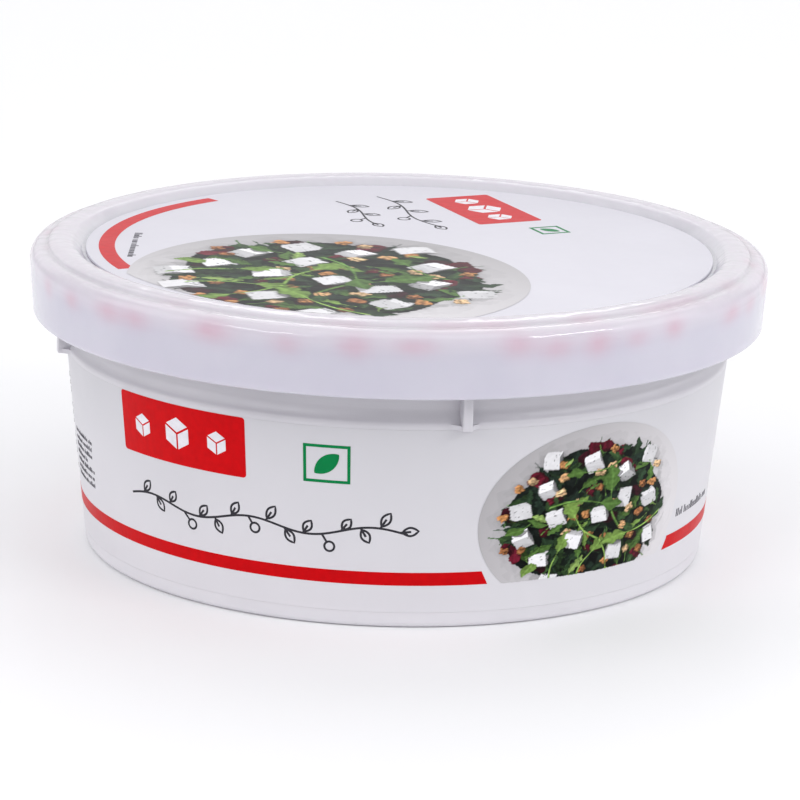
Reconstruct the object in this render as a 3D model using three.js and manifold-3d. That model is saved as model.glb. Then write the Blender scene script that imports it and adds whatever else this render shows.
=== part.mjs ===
// A shut round tub of cheese in brine: white moulded tub, milky press-on lid, and a printed
// film label moulded on each. Millimetres, +Z up, origin at the centre of the foot.
// The front of the print looks along -Y.

import * as THREE from 'three';
import { mergeVertices } from 'three/addons/utils/BufferGeometryUtils.js';
import Module from 'manifold-3d';

const wasm = await Module();
wasm.setup();

// Overall
const LID_RADIUS = 57.5;
const TOTAL_HEIGHT = 48;
const SIDES = 64;
const ROUNDING_STEPS = 3;
const CLEARANCE = 0.2;

// Tub wall: a cone from the foot to the ledge under the lid
const WALL_FOOT_RADIUS = 48.6;
const WALL_SLOPE = 0.1017;
const LEDGE_HEIGHT = 31.9;
const LEDGE_SLOPE = 1.3;
const LEDGE_FILLET = 0.85;
const FOOT_ROUNDING = 1;
const FOOT_RING_INNER = 41;
const UNDERSIDE_RECESS = 1;

// Neck and rim, behind the lid's skirt
const NECK_RADIUS = 50.8;
const NECK_TOP_RADIUS = 51.3;
const RIM_RADIUS = 55.4;
const RIM_BOTTOM = 44;

// Stacking lugs: four thin ribs from the ledge to the rim, each on a small shelf
const LUG_COUNT = 4;
const LUG_FIRST_ANGLE = 11.4;
const LUG_WIDTH = 1.5;
const LUG_TIP_RADIUS = 53.6;
const LUG_SHELF_HALF = 4.5;
const LUG_SHELF_THICKNESS = 0.7;

// Lid: sunk panel, raised ring with a low crown, small groove, round shoulder, straight skirt
const LID_WALL = 1.1;
const PANEL_TOP = 46.25;
const PANEL_RADIUS = 49.2;
const RING_INNER = 50.9;
const RING_OUTER = 54.5;
const RING_CROWN = 0.3;
const GROOVE_RADIUS = 54.9;
const SHOULDER_TOP = 47.1;
const SHOULDER_ROUNDING = 2.6;
const SKIRT_BOTTOM = 36.9;
const SKIRT_BOTTOM_RADIUS = 57;
const CLIP_BEAD_HEIGHT = 42.6;
const CLIP_BEAD_DEPTH = 0.7;

// Labels: films laid in shallow recesses of the wall and the panel
const FILM = 0.35;
const FILM_GAP = 0.1;
const WALL_LABEL_BOTTOM = 2.4;
const WALL_LABEL_TOP = 31.2;
const WALL_LABEL_SEAM = 0.6;
const DISC_RADIUS = 48.9;

const radians = THREE.MathUtils.degToRad;
const wallRadius = (height) => WALL_FOOT_RADIUS + WALL_SLOPE * height;

// Corners are [radius, height, rounding]; a rounding turns the corner into a short curve.
function outline(corners) {
  const points = [];
  corners.forEach(([r, z, rounding = 0], i) => {
    const corner = new THREE.Vector2(r, z);
    if (!rounding) {
      points.push(corner);
      return;
    }
    const before = new THREE.Vector2(...corners[i - 1].slice(0, 2)).sub(corner).normalize();
    const after = new THREE.Vector2(...corners[i + 1].slice(0, 2)).sub(corner).normalize();
    const halfAngle = Math.acos(THREE.MathUtils.clamp(before.dot(after), -1, 1)) / 2;
    const reach = rounding / Math.tan(halfAngle);
    const from = corner.clone().addScaledVector(before, reach);
    const to = corner.clone().addScaledVector(after, reach);
    points.push(...new THREE.QuadraticBezierCurve(from, corner, to).getPoints(ROUNDING_STEPS));
  });
  return points;
}

function turned(corners) {
  return new THREE.LatheGeometry(outline(corners), SIDES).rotateX(Math.PI / 2);
}

function toSolid(geometry) {
  const bare = geometry.clone();
  bare.deleteAttribute('normal');
  bare.deleteAttribute('uv');
  const merged = mergeVertices(bare, 1e-5);
  const index = merged.index.array;
  const triangles = [];
  for (let i = 0; i < index.length; i += 3) {
    const [a, b, c] = index.slice(i, i + 3);
    if (a !== b && b !== c && c !== a) triangles.push(a, b, c);
  }
  return new wasm.Manifold(new wasm.Mesh({
    numProp: 3,
    vertProperties: new Float32Array(merged.attributes.position.array),
    triVerts: new Uint32Array(triangles),
  }));
}

function toGeometry(solid) {
  const mesh = solid.getMesh();
  const geometry = new THREE.BufferGeometry();
  geometry.setAttribute('position', new THREE.BufferAttribute(mesh.vertProperties, 3));
  geometry.setIndex(new THREE.BufferAttribute(mesh.triVerts, 1));
  geometry.computeVertexNormals();
  return geometry;
}

// Tub

function tubBody() {
  const filmBed = FILM + FILM_GAP;
  const underPanel = PANEL_TOP - LID_WALL - CLEARANCE;
  const rimTop = TOTAL_HEIGHT - LID_WALL - CLEARANCE;
  return turned([
    [0, UNDERSIDE_RECESS],
    [FOOT_RING_INNER - UNDERSIDE_RECESS, UNDERSIDE_RECESS, 0.3],
    [FOOT_RING_INNER, 0],
    [wallRadius(0), 0, FOOT_ROUNDING],
    [wallRadius(WALL_LABEL_BOTTOM), WALL_LABEL_BOTTOM],
    [wallRadius(WALL_LABEL_BOTTOM) - filmBed, WALL_LABEL_BOTTOM],
    [wallRadius(WALL_LABEL_TOP) - filmBed, WALL_LABEL_TOP],
    [wallRadius(WALL_LABEL_TOP), WALL_LABEL_TOP],
    [wallRadius(LEDGE_HEIGHT), LEDGE_HEIGHT, 0.15],
    [NECK_RADIUS, LEDGE_HEIGHT + LEDGE_SLOPE, LEDGE_FILLET],
    [NECK_TOP_RADIUS, RIM_BOTTOM, 0.5],
    [RIM_RADIUS, RIM_BOTTOM, 0.3],
    [RIM_RADIUS, rimTop - 1.1, 0.6],
    [RING_OUTER - 1, rimTop],
    [RING_INNER + 1, rimTop, 0.4],
    [PANEL_RADIUS + 0.2, underPanel, 0.3],
    [0, underPanel],
  ]);
}

function lugRib() {
  const inner = NECK_RADIUS - 1;
  const foot = LEDGE_HEIGHT - LUG_SHELF_THICKNESS;
  const side = new THREE.Shape([
    new THREE.Vector2(inner, foot),
    new THREE.Vector2(LUG_TIP_RADIUS, foot),
    new THREE.Vector2(LUG_TIP_RADIUS, RIM_BOTTOM - 0.6),
    new THREE.Vector2(LUG_TIP_RADIUS - 0.6, RIM_BOTTOM + 0.4),
    new THREE.Vector2(inner, RIM_BOTTOM + 0.4),
  ]);
  return new THREE.ExtrudeGeometry(side, { depth: LUG_WIDTH, bevelEnabled: false })
    .translate(0, 0, -LUG_WIDTH / 2)
    .rotateX(Math.PI / 2);
}

function lugShelf() {
  const edge = wallRadius(LEDGE_HEIGHT);
  const inner = edge - 1.2;
  const tip = LUG_TIP_RADIUS - 0.2;
  const plan = new THREE.Shape();
  plan.moveTo(inner, -LUG_SHELF_HALF);
  plan.quadraticCurveTo(edge, -LUG_WIDTH, tip, -LUG_WIDTH / 2);
  plan.lineTo(tip, LUG_WIDTH / 2);
  plan.quadraticCurveTo(edge, LUG_WIDTH, inner, LUG_SHELF_HALF);
  const shape = { depth: LUG_SHELF_THICKNESS, bevelEnabled: false, curveSegments: 5 };
  return new THREE.ExtrudeGeometry(plan, shape)
    .translate(0, 0, LEDGE_HEIGHT - LUG_SHELF_THICKNESS + 0.05);
}

function tubGeometry() {
  let solid = toSolid(tubBody());
  for (let i = 0; i < LUG_COUNT; i += 1) {
    const turn = radians(LUG_FIRST_ANGLE - 90 + (i * 360) / LUG_COUNT);
    solid = solid.add(toSolid(lugRib().rotateZ(turn)));
    solid = solid.add(toSolid(lugShelf().rotateZ(turn)));
  }
  return toGeometry(solid);
}

// Lid

function lidGeometry() {
  const panelUnder = PANEL_TOP - LID_WALL;
  const ringUnder = TOTAL_HEIGHT - LID_WALL;
  const innerBottom = SKIRT_BOTTOM_RADIUS - LID_WALL;
  const innerTop = LID_RADIUS - LID_WALL;
  const beadRadius = innerTop - CLIP_BEAD_DEPTH;
  const ringMiddle = (RING_INNER + RING_OUTER) / 2;
  const ringEdge = TOTAL_HEIGHT - RING_CROWN;
  return turned([
    [0, panelUnder],
    [PANEL_RADIUS, panelUnder, 0.4],
    [RING_INNER + 0.5, ringUnder, 0.4],
    [RING_OUTER - 0.9, ringUnder],
    [RIM_RADIUS - 0.5, ringUnder - 0.25],
    [innerTop, RIM_BOTTOM + 0.9],
    [innerTop, CLIP_BEAD_HEIGHT + 0.7],
    [beadRadius, CLIP_BEAD_HEIGHT],
    [innerTop, CLIP_BEAD_HEIGHT - 1.1],
    [innerBottom, SKIRT_BOTTOM, 0.25],
    [SKIRT_BOTTOM_RADIUS, SKIRT_BOTTOM, 0.4],
    [LID_RADIUS, SHOULDER_TOP - SHOULDER_ROUNDING],
    [LID_RADIUS, SHOULDER_TOP, SHOULDER_ROUNDING - 0.6],
    [GROOVE_RADIUS, SHOULDER_TOP],
    [RING_OUTER, ringEdge, 0.25],
    [ringMiddle + 1, TOTAL_HEIGHT - RING_CROWN / 4],
    [ringMiddle, TOTAL_HEIGHT],
    [ringMiddle - 1, TOTAL_HEIGHT - RING_CROWN / 4],
    [RING_INNER, ringEdge, 0.4],
    [PANEL_RADIUS + 0.25, PANEL_TOP, 0.2],
    [0, PANEL_TOP],
  ]);
}

// Labels

function wallLabelGeometry() {
  const low = WALL_LABEL_BOTTOM + FILM_GAP;
  const high = WALL_LABEL_TOP - FILM_GAP;
  const sleeve = turned([
    [wallRadius(low) - FILM, low],
    [wallRadius(low), low],
    [wallRadius(high), high],
    [wallRadius(high) - FILM, high],
    [wallRadius(low) - FILM, low],
  ]);
  const seam = new THREE.BoxGeometry(WALL_LABEL_SEAM, 8, TOTAL_HEIGHT)
    .translate(0, wallRadius(LEDGE_HEIGHT / 2), TOTAL_HEIGHT / 2);
  return toGeometry(toSolid(sleeve).subtract(toSolid(seam)));
}

function lidLabelGeometry() {
  const under = PANEL_TOP + FILM_GAP;
  return turned([
    [0, under],
    [DISC_RADIUS, under],
    [DISC_RADIUS, under + FILM],
    [0, under + FILM],
  ]);
}

function piece(name, geometry, color, roughness) {
  const material = new THREE.MeshStandardMaterial({ color, roughness, metalness: 0 });
  const mesh = new THREE.Mesh(geometry, material);
  mesh.name = name;
  return mesh;
}

const part = new THREE.Group();
part.add(
  piece('tub', tubGeometry(), '#dcd9e0', 0.35),
  piece('lid', lidGeometry(), '#dedbe6', 0.3),
  piece('tub_label', wallLabelGeometry(), '#e3e0e6', 0.35),
  piece('lid_label', lidLabelGeometry(), '#e7e5ef', 0.35),
);

export default part;
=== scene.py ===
import math
import random

import bpy
import numpy as np
from mathutils import Euler, Matrix, Vector, noise
from mathutils.bvhtree import BVHTree
from mathutils.interpolate import poly_3d_calc


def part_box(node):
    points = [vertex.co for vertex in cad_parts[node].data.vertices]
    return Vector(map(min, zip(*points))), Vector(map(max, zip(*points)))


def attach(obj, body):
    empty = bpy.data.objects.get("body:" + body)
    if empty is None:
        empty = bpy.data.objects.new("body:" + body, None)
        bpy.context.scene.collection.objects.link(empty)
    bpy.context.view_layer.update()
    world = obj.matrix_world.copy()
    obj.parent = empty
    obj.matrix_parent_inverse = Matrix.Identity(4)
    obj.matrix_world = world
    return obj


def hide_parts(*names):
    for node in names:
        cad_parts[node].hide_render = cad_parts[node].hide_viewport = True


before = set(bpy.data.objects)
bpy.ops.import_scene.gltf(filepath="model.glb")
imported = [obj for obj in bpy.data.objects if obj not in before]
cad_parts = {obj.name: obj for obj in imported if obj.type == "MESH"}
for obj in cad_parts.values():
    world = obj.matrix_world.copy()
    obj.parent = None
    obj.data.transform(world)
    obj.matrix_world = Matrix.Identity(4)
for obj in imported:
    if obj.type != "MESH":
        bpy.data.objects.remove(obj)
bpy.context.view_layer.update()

# Tub
# A low round tub, injection moulded in white polypropylene. Its wall widens from a flat foot
# to a ledge; above that a thinner neck carries the rim that the lid is pressed on.

MM = 0.001
TURN_STEPS = 256
WELD_DISTANCE = 0.001 * MM
SMOOTH_ANGLE = math.radians(35)
_, tub_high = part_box("tub")
film_low, film_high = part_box("tub_label")

WALL_SLOPE = 0.1017
FOOT_RADIUS = film_high.x / MM - WALL_SLOPE * film_high.z / MM
FOOT_ROUNDING = 1.0
FOOT_RING_INNER = 41.0
UNDERSIDE = 1.0
RAISED_MARK = 0.15
GATE_RADIUS = 0.9
DIMPLE_RADIUS = 4.0
DIMPLE_DEPTH = 0.35
MARK_RING_INNER = 30.0
MARK_RING_OUTER = 30.8
LEDGE_HEIGHT = 31.9
LEDGE_SLOPE = 1.3
LEDGE_ROUNDING = 0.4
LEDGE_FILLET = 1.0
NECK_RADIUS = 50.8
NECK_TAPER = 0.5
RIM_RADIUS = tub_high.x / MM
RIM_TOP = tub_high.z / MM
RIM_BOTTOM = 44
CREST_INNER = 51.9
CREST_OUTER = 53.5
BRIM_RADIUS = 49.4
PANEL_DROP = 1.75
FILM_BED = 0.45
FILM_GAP = 0.01
bed_bottom = film_low.z / MM - FILM_GAP
bed_top = film_high.z / MM + FILM_GAP


def wall_radius(height):
    return FOOT_RADIUS + WALL_SLOPE * height


def edit_all(piece):
    """Selects one piece alone and opens it in edit mode, with all of it selected."""
    bpy.ops.object.select_all(action="DESELECT")
    piece.select_set(True)
    bpy.context.view_layer.objects.active = piece
    bpy.ops.object.mode_set(mode="EDIT")
    bpy.ops.mesh.select_all(action="SELECT")


def draw_outline(name, corners, segments=4):
    """Draws a half outline in the XZ plane by extruding one vertex from corner to corner.
    Corners are (radius, height, rounding) in millimetres; rounded corners are then bevelled."""
    bpy.ops.object.select_all(action="DESELECT")
    bpy.ops.mesh.primitive_plane_add(size=MM)
    drawn = bpy.context.object
    drawn.name = drawn.data.name = name
    places = [Vector((radius * MM, 0, height * MM)) for radius, height, *_ in corners]
    edit_all(drawn)
    bpy.ops.mesh.merge(type="CENTER")
    bpy.ops.transform.translate(value=places[0])
    for here, there in zip(places, places[1:]):
        bpy.ops.mesh.extrude_region_move(TRANSFORM_OT_translate={"value": there - here})
    for place, corner in zip(places, corners):
        if len(corner) < 3:
            continue
        bpy.ops.mesh.select_all(action="DESELECT")
        bpy.ops.object.mode_set(mode="OBJECT")
        nearest = min(drawn.data.vertices, key=lambda v: (v.co - place).length)
        nearest.select = True
        bpy.ops.object.mode_set(mode="EDIT")
        bpy.ops.mesh.bevel(offset=corner[2] * MM, segments=segments, affect="VERTICES")
    bpy.ops.object.mode_set(mode="OBJECT")
    return drawn


def turn_round(drawn, steps=TURN_STEPS, angle=2 * math.pi):
    """Spins a drawn half outline about the tub's axis and closes the seam."""
    edit_all(drawn)
    bpy.ops.mesh.spin(steps=steps, angle=angle, center=(0, 0, 0), axis=(0, 0, 1))
    bpy.ops.mesh.select_all(action="SELECT")
    bpy.ops.mesh.remove_doubles(threshold=WELD_DISTANCE)
    bpy.ops.mesh.normals_make_consistent(inside=False)
    bpy.ops.object.mode_set(mode="OBJECT")
    bpy.ops.object.shade_smooth_by_angle(angle=SMOOTH_ANGLE)
    return drawn


class Tone:
    """A socket of a material's nodes. Sums and products of tones add the nodes for them."""

    def __init__(self, tree, socket=None):
        self.tree, self.socket = tree, socket

    def add(self, kind, sockets=(), output=0, **settings):
        """Adds a node, sets and links its sockets, and gives the tone of one of its outputs."""
        made = self.tree.nodes.new(kind)
        for name, value in settings.items():
            setattr(made, name, value)
        for key, value in dict(sockets).items():
            if isinstance(value, Tone):
                self.tree.links.new(value.socket, made.inputs[key])
            else:
                made.inputs[key].default_value = value
        return Tone(self.tree, made.outputs[output])

    def math(self, operation, *values):
        return self.add("ShaderNodeMath", dict(enumerate(values)), operation=operation)

    def __add__(self, other):
        return self.math("ADD", self, other)

    def __mul__(self, other):
        return self.math("MULTIPLY", self, other)

    def noise(self, scale, detail=3):
        """Noise between 0 and 1 in the piece's own space; scale is patches in a metre."""
        where = self.add("ShaderNodeTexCoord", output=3)
        sockets = {"Vector": where, "Scale": scale, "Detail": detail}
        return self.add("ShaderNodeTexNoise", sockets)

    def height(self, low, high):
        """0 below the low height and 1 above the high one, both in millimetres."""
        where = self.add("ShaderNodeTexCoord", output=3)
        upright = self.add("ShaderNodeSeparateXYZ", {0: where}, output=2)
        return upright.within(low * MM, high * MM)

    def between(self, low, high):
        """This tone, from 0 to 1, mixes two colours, each a tone or three numbers."""
        ends = [end if isinstance(end, Tone) else (*end, 1) for end in (low, high)]
        sockets = {0: self, 6: ends[0], 7: ends[1]}
        return self.add("ShaderNodeMix", sockets, output=2, data_type="RGBA")

    def within(self, low, high):
        """Clamps and stretches this tone so that low is 0 and high is 1."""
        sockets = {0: self, 1: low, 2: high, 3: 0.0, 4: 1.0}
        return self.add("ShaderNodeMapRange", sockets, clamp=True)


def srgb(*levels):
    """Levels from 0 to 255, as on a screen, turned into the shader's linear values."""
    shares = [level / 255 for level in levels]
    return tuple(s / 12.92 if s <= 0.04045 else ((s + 0.055) / 1.055) ** 2.4 for s in shares)


def new_material(name):
    """A material with one Principled shader, returned with a tone to build on and its shader."""
    material = bpy.data.materials.new(name)
    material.use_nodes = True
    tree = material.node_tree
    return material, Tone(tree), tree.nodes["Principled BSDF"]


def feed(tone, shader, socket):
    """Links a tone to a shader's socket."""
    tone.tree.links.new(tone.socket, shader.inputs[socket])


def bump(height, distance):
    """A normal for a surface that a tone lifts by up to a distance in metres."""
    return height.add("ShaderNodeBump", {"Height": height, "Distance": distance})


def finish_piece(piece, material, slot, *nodes):
    """Gives a piece its material and its body, and hides the solids it stands for. The slot is
    not used.
    """
    piece.data.materials.clear()
    piece.data.materials.append(material)
    if nodes:
        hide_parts(*nodes)
    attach(piece, "root")


tub = turn_round(draw_outline("tub_body", [
    (0, UNDERSIDE - RAISED_MARK),
    (GATE_RADIUS, UNDERSIDE - RAISED_MARK, 0.15),
    (GATE_RADIUS + 0.1, UNDERSIDE + DIMPLE_DEPTH, 0.1),
    (DIMPLE_RADIUS, UNDERSIDE + DIMPLE_DEPTH, 0.15),
    (DIMPLE_RADIUS + 0.3, UNDERSIDE, 0.15),
    (MARK_RING_INNER - 0.2, UNDERSIDE),
    (MARK_RING_INNER, UNDERSIDE - RAISED_MARK),
    (MARK_RING_OUTER, UNDERSIDE - RAISED_MARK),
    (MARK_RING_OUTER + 0.2, UNDERSIDE),
    (FOOT_RING_INNER - 1, UNDERSIDE, 0.3),
    (FOOT_RING_INNER, 0, 0.3),
    (wall_radius(0), 0, FOOT_ROUNDING),
    (wall_radius(bed_bottom), bed_bottom),
    (wall_radius(bed_bottom) - FILM_BED, bed_bottom),
    (wall_radius(bed_top) - FILM_BED, bed_top),
    (wall_radius(bed_top), bed_top),
    (wall_radius(LEDGE_HEIGHT), LEDGE_HEIGHT, LEDGE_ROUNDING),
    (NECK_RADIUS, LEDGE_HEIGHT + LEDGE_SLOPE, LEDGE_FILLET),
    (NECK_RADIUS + NECK_TAPER, RIM_BOTTOM, 0.5),
    (RIM_RADIUS, RIM_BOTTOM, 0.3),
    (RIM_RADIUS, RIM_TOP - 1.1, 0.6),
    (CREST_OUTER, RIM_TOP),
    (CREST_INNER, RIM_TOP, 0.4),
    (BRIM_RADIUS, RIM_TOP - PANEL_DROP, 0.3),
    (0, RIM_TOP - PANEL_DROP),
]))

# Stacking lugs
# Four thin ribs stand a quarter turn apart on the neck, each on a small three-cornered shelf.
# They are moulded with the tub and keep stacked empty tubs from jamming.

LUG_ANGLES = [11.4 + 90 * quarter for quarter in range(4)]
LUG_WIDTH = 1.5
LUG_TIP = 53.6
SHELF_HALF = 4.5
SHELF_THICKNESS = 0.7
SHELF_CUTS = 8
LUG_ROOT = 1
RIB_ROUNDING = 0.25


def lug_block(length, width, height, centre_radius, centre_height):
    """A block in millimetres on the X axis, at a distance from the tub's axis."""
    bpy.ops.object.select_all(action="DESELECT")
    bpy.ops.mesh.primitive_cube_add(size=1, location=(centre_radius * MM, 0, centre_height * MM),
                                    scale=(length * MM, width * MM, height * MM))
    bpy.ops.object.transform_apply(location=True, rotation=True, scale=True)
    return bpy.context.object


def unite(base, added):
    """Makes one solid of two and keeps it in the first."""
    union = base.modifiers.new("unite", "BOOLEAN")
    union.operation, union.object, union.solver = "UNION", added, "EXACT"
    bpy.context.view_layer.objects.active = base
    bpy.ops.object.modifier_apply(modifier=union.name)
    bpy.data.objects.remove(added)


def join_pieces(name, pieces):
    """Joins pieces into the first of them and names it."""
    bpy.ops.object.select_all(action="DESELECT")
    for piece in pieces:
        piece.select_set(True)
    bpy.context.view_layer.objects.active = pieces[0]
    bpy.ops.object.join()
    pieces[0].name = pieces[0].data.name = name
    return pieces[0]


rib_foot = LEDGE_HEIGHT - SHELF_THICKNESS
rib_top = RIM_BOTTOM + 0.3
rib_root = NECK_RADIUS - LUG_ROOT
rib = lug_block(LUG_TIP - rib_root, LUG_WIDTH, rib_top - rib_foot,
                (LUG_TIP + rib_root) / 2, (rib_top + rib_foot) / 2)
edit_all(rib)
bpy.ops.mesh.bevel(offset=RIB_ROUNDING * MM, segments=3, affect="EDGES")
bpy.ops.object.mode_set(mode="OBJECT")
shelf_inner = wall_radius(LEDGE_HEIGHT) - 1.2
shelf_outer = LUG_TIP - 0.2
shelf = lug_block(shelf_outer - shelf_inner, 2, SHELF_THICKNESS,
                  (shelf_outer + shelf_inner) / 2, LEDGE_HEIGHT - SHELF_THICKNESS / 2 + 0.05)
edit_all(shelf)
for cut in range(1, SHELF_CUTS):
    place = shelf_inner + (shelf_outer - shelf_inner) * cut / SHELF_CUTS
    bpy.ops.mesh.select_all(action="SELECT")
    bpy.ops.mesh.bisect(plane_co=(place * MM, 0, 0), plane_no=(1, 0, 0))
bpy.ops.object.mode_set(mode="OBJECT")
for vertex in shelf.data.vertices:
    out = (vertex.co.x / MM - shelf_inner) / (shelf_outer - shelf_inner)
    vertex.co.y *= LUG_WIDTH / 2 + (SHELF_HALF - LUG_WIDTH / 2) * (1 - out) ** 2
unite(rib, shelf)
lugs = []
for angle in LUG_ANGLES:
    lug = rib.copy()
    lug.data = rib.data.copy()
    lug.data.transform(Matrix.Rotation(math.radians(angle - 90), 4, "Z"))
    bpy.context.scene.collection.objects.link(lug)
    lugs.append(lug)
bpy.data.objects.remove(rib)
unite(tub, join_pieces("lugs", lugs))
tub.select_set(True)
bpy.ops.object.shade_smooth_by_angle(angle=SMOOTH_ANGLE)

white_plastic, tone, shader = new_material("white_polypropylene")
cloud = tone.noise(60, 4)
mottle = cloud.within(0.35, 0.65) * 0.2
# Painted shade: the colour darkens from the foot up to the ledge, standing in for the shade of
# the lid's overhang on the upper wall and the floor's light on the foot. The noise mottle added
# to it is the plastic's own.
feed((mottle + tone.height(0, LEDGE_HEIGHT) * 0.8)
     .between(srgb(230, 228, 233), srgb(209, 207, 213)), shader, "Base Color")
feed(tone.noise(350, 3) * 0.10 + 0.30, shader, "Roughness")
feed(bump(tone.noise(4500, 2) + cloud * 2, 0.01 * MM), shader, "Normal")
shader.inputs["Subsurface Weight"].default_value = 0.15
shader.inputs["Subsurface Radius"].default_value = (1.0, 0.95, 1.0)
shader.inputs["Subsurface Scale"].default_value = 1.0 * MM
finish_piece(tub, white_plastic, "tub", "tub")

# Lid
# One moulding in thin milky polypropylene: a sunk panel, a raised ring, a groove, a round
# shoulder and a straight skirt. The pink print of the seal film under it shows through.

lid_low, lid_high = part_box("lid")
LID_RADIUS = lid_high.x / MM
LID_TOP = lid_high.z / MM
SKIRT_BOTTOM = lid_low.z / MM
LID_WALL = 1.1
PANEL_TOP = LID_TOP - PANEL_DROP
PANEL_RADIUS = 49.2
RING_INNER = 50.9
RING_OUTER = 54.5
SHOULDER_TOP = 47.1
RING_CROWN = 0.3
CROWN_ROWS = 10
SHOULDER_ROUNDING = 2.0
CLIP_BEAD = 42.6
CLIP_BEAD_DEPTH = 0.7
SKIRT_TOP = 44.5
SKIRT_TAPER = 0.5
SKIRT_ROWS = 8

skirt_rows = [(LID_RADIUS - SKIRT_TAPER * (1 - row / SKIRT_ROWS),
               SKIRT_BOTTOM + (SKIRT_TOP - SKIRT_BOTTOM) * row / SKIRT_ROWS)
              for row in range(1, SKIRT_ROWS + 1)]
ring_middle, ring_half = (RING_INNER + RING_OUTER) / 2, (RING_OUTER - RING_INNER) / 2
crown_rows = [(ring_middle + ring_half * (1 - 2 * row / CROWN_ROWS),
               LID_TOP - RING_CROWN * (1 - 2 * row / CROWN_ROWS) ** 2)
              for row in range(1, CROWN_ROWS)]
lid = turn_round(draw_outline("lid_shell", [
    (0, PANEL_TOP - LID_WALL),
    (PANEL_RADIUS, PANEL_TOP - LID_WALL, 0.4),
    (RING_INNER + 0.5, LID_TOP - LID_WALL, 0.4),
    (RING_OUTER - 0.9, LID_TOP - LID_WALL),
    (RIM_RADIUS - 0.5, LID_TOP - LID_WALL - 0.25, 0.3),
    (LID_RADIUS - LID_WALL, RIM_BOTTOM + 0.9, 0.3),
    (LID_RADIUS - LID_WALL, CLIP_BEAD + 0.7, 0.2),
    (LID_RADIUS - LID_WALL - CLIP_BEAD_DEPTH, CLIP_BEAD, 0.2),
    (LID_RADIUS - LID_WALL, CLIP_BEAD - 1.1, 0.2),
    (LID_RADIUS - SKIRT_TAPER - LID_WALL, SKIRT_BOTTOM, 0.25),
    (LID_RADIUS - SKIRT_TAPER, SKIRT_BOTTOM, 0.4),
    *skirt_rows,
    (LID_RADIUS, SHOULDER_TOP, SHOULDER_ROUNDING),
    (RING_OUTER + 0.4, SHOULDER_TOP, 0.35),
    (RING_OUTER, LID_TOP - RING_CROWN, 0.25),
    *crown_rows,
    (RING_INNER, LID_TOP - RING_CROWN, 0.3),
    (PANEL_RADIUS + 0.25, PANEL_TOP, 0.2),
    (PANEL_RADIUS - 0.4, PANEL_TOP),
    (0, PANEL_TOP),
], segments=6), steps=384)

# Soft pink marks of the sealing film under the rim show through the shoulder, and fainter ones
# through the ring. Their turns are measured from the front, in degrees to the right.
shoulder_marks = [-67, -58, -48, -42, -28, -16, -6, 2.5, 17.5, 23.5, 30.5, 37.5, 45, 60.5, 68]
ring_marks = [-36, -8, 7.5, 15, 29.5, 44, 51, 65]
BACK_TURNS = (78, 282)
SHOULDER_MARK_HEIGHT = 44.5
SHOULDER_REACH = 55
RING_MARK_RADIUS = 55.0
RING_HEIGHT = 46.8
FAINT_STAIN = 0.09
STAIN_FROM_HEIGHT = 42.5
STAIN_FROM_RADIUS = 50.2

draw = random.Random(11)
turn, last_turn = BACK_TURNS
while turn < last_turn:
    shoulder_marks.append(turn)
    ring_marks.append(turn + 4)
    turn += draw.uniform(6, 14)


def places_of(piece):
    """A piece's vertices as rows of millimetres."""
    places = np.empty(len(piece.data.vertices) * 3)
    piece.data.vertices.foreach_get("co", places)
    return places.reshape(-1, 3) / MM


x, y, height = places_of(lid).T
around = np.arctan2(x, -y)
reach = np.hypot(x, y)
above_skirt = np.clip((height - STAIN_FROM_HEIGHT) / 3, 0, 1)
stain = FAINT_STAIN * above_skirt * np.clip((reach - STAIN_FROM_RADIUS) / 1.5, 0, 1)


def soft_mark(turn, middle, across, width, depth, strength):
    """What a mark adds to the stain of each vertex: it fades along the lid's edge with its
    width, and with its depth as the vertex's place across the edge leaves the mark's middle."""
    along = np.angle(np.exp(1j * (around - math.radians(turn)))) * reach
    return strength * np.exp(-(along / width) ** 2 - ((across - middle) / depth) ** 2)


on_shoulder = np.where(reach > SHOULDER_REACH, height, 0)
for turn in shoulder_marks:
    stain += soft_mark(turn, SHOULDER_MARK_HEIGHT + draw.uniform(-0.5, 0.4), on_shoulder,
                       draw.uniform(1.8, 3.2), draw.uniform(1.2, 1.7), draw.uniform(0.45, 0.75))
on_ring = np.where(height > RING_HEIGHT, reach, 0)
for turn in ring_marks:
    stain += soft_mark(turn, RING_MARK_RADIUS, on_ring,
                       draw.uniform(2.0, 4.5), draw.uniform(0.8, 1.4), draw.uniform(0.15, 0.35))
attribute = lid.data.attributes.new("Stain", "FLOAT", "POINT")
attribute.data.foreach_set("value", stain)

milky_plastic, tone, shader = new_material("milky_polypropylene")
milk = tone.noise(90, 3).within(0.35, 0.65)
free_skirt = milk.between(srgb(202, 200, 213), srgb(206, 204, 216))
body_colour = tone.height(43.5, 46.8).between(free_skirt, srgb(219, 216, 224))
stain_tone = tone.add("ShaderNodeAttribute", output=2, attribute_name="Stain")
blur = tone.noise(420, 3) * 0.5 + 0.75
feed((stain_tone * blur).within(0, 1).between(body_colour, srgb(210, 174, 190)),
     shader, "Base Color")
feed(tone.noise(240, 3) * 0.06 + 0.10, shader, "Roughness")
waves = tone.noise(190, 2) * (tone.height(44.5, 46.5) * 0.9 + 0.1)
feed(bump(waves, 0.3 * MM), shader, "Normal")
shader.inputs["Subsurface Weight"].default_value = 0.5
shader.inputs["Subsurface Radius"].default_value = (1.0, 0.85, 0.95)
shader.inputs["Subsurface Scale"].default_value = 2.5 * MM
finish_piece(lid, milky_plastic, "lid", "lid")

# Wall label
# A printed white film, moulded into the tub's wall and flush with it. It goes all the way
# round, and its two ends meet in a narrow upright seam at the back.

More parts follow.
